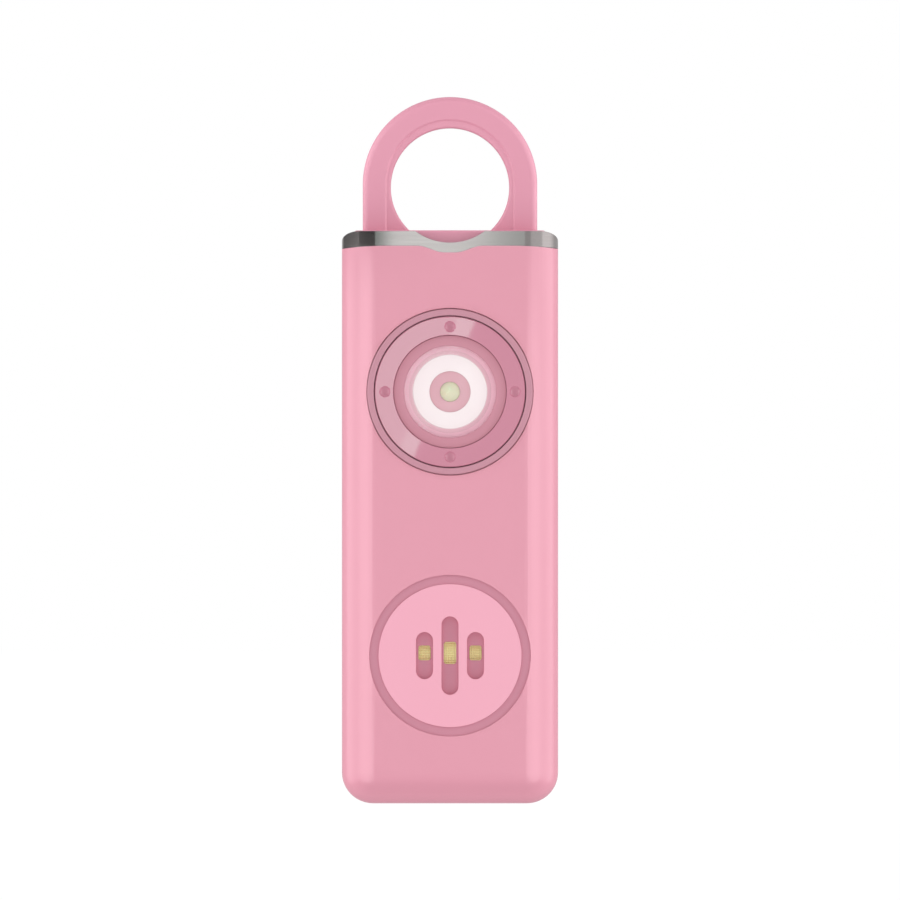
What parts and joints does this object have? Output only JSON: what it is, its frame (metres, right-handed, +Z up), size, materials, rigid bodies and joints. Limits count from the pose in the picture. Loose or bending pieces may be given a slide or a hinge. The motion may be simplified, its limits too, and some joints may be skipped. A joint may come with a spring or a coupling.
{
  "type": "personal safety alarm",
  "caption": "Slim pocket alarm with a pull-out loop handle and pin, a round LED light, a slotted siren panel and a metal collar; pulling the handle sets it off.",
  "frame": {"origin": "middle of the base, halfway between the light ring's face and the back of the case", "axes": "+Z up from the base towards the loop, the front with the light and the siren faces -Y, +X to the right as seen from the front"},
  "size_m": [0.028, 0.015, 0.0915],
  "materials": {
    "case_plastic": "satin moulded ABS, soft pink",
    "handle_plastic": "satin moulded ABS, soft pink",
    "collar_metal": "satin plated die casting",
    "trim_plastic": "satin moulded ABS, dusky pink",
    "gloss_trim_plastic": "glossy moulded ABS, dusky pink",
    "panel_plastic": "satin moulded ABS, light pink",
    "lens_plastic": "clear polycarbonate",
    "reflector_plastic": "white moulded plastic",
    "led_silicone": "phosphor under a clear silicone dome",
    "gauze_brass": "fine woven gauze",
    "pin_steel": "ground stainless steel",
    "seal_rubber": "moulded nitrile rubber",
    "inner_plastic": "black moulded ABS",
    "socket_plastic": "natural acetal",
    "screw_steel": "nickel-plated steel",
    "gasket_foam": "closed-cell foam",
    "piezo_brass": "rolled brass",
    "piezo_ceramic": "silvered ceramic",
    "wire_pvc": "red PVC insulation",
    "board_laminate": "green solder mask on glass laminate",
    "chip_epoxy": "moulded epoxy",
    "coil_ferrite": "sintered ferrite",
    "coil_copper": "enamelled copper wire",
    "part_ceramic": "sintered ceramic",
    "cell_steel": "nickel-plated steel can",
    "contact_steel": "plated spring steel"
  },
  "bodies": {
    "case": {"front_shell": "case_plastic", "rear_shell": "case_plastic", "top_collar": "collar_metal", "socket_block": "socket_plastic", "case_screws": "screw_steel", "collar_screws": "screw_steel", "board_screws": "screw_steel", "light_trim_ring": "trim_plastic", "lens_retainer": "gloss_trim_plastic", "light_cup": "trim_plastic", "lens": "lens_plastic", "reflector": "reflector_plastic", "led": "led_silicone", "siren_bezel": "trim_plastic", "siren_panel": "panel_plastic", "siren_gauze": "gauze_brass", "siren_gasket": "gasket_foam", "piezo_plate": "piezo_brass", "piezo_ceramic": "piezo_ceramic", "resonator_cup": "inner_plastic", "siren_wires": "wire_pvc", "main_board": "board_laminate", "controller_chip": "chip_epoxy", "boost_coil": "coil_ferrite", "coil_winding": "coil_copper", "chip_capacitors": "part_ceramic", "chip_resistors": "chip_epoxy", "switch_body": "inner_plastic", "switch_terminals": "contact_steel", "battery_holder": "inner_plastic", "battery_cells": "cell_steel", "contact_negative": "contact_steel", "contact_positive": "contact_steel"},
    "handle": {"pull_handle": "handle_plastic", "pull_pin": "pin_steel", "handle_seal": "seal_rubber"},
    "plunger": {"switch_plunger": "socket_plastic"}
  },
  "joints": [
    {"name": "handle_pull", "type": "slide", "parent": "case", "child": "handle", "axis": [0, 0, 1], "range_m": [0, 0.015]},
    {"name": "plunger_rise", "type": "slide", "parent": "case", "child": "plunger", "axis": [0, 0, 1], "range_m": [0, 0.001]}
  ],
  "couplings": [
    {"joint": "plunger_rise", "follows": "handle_pull", "ratio": 0.066667}
  ]
}
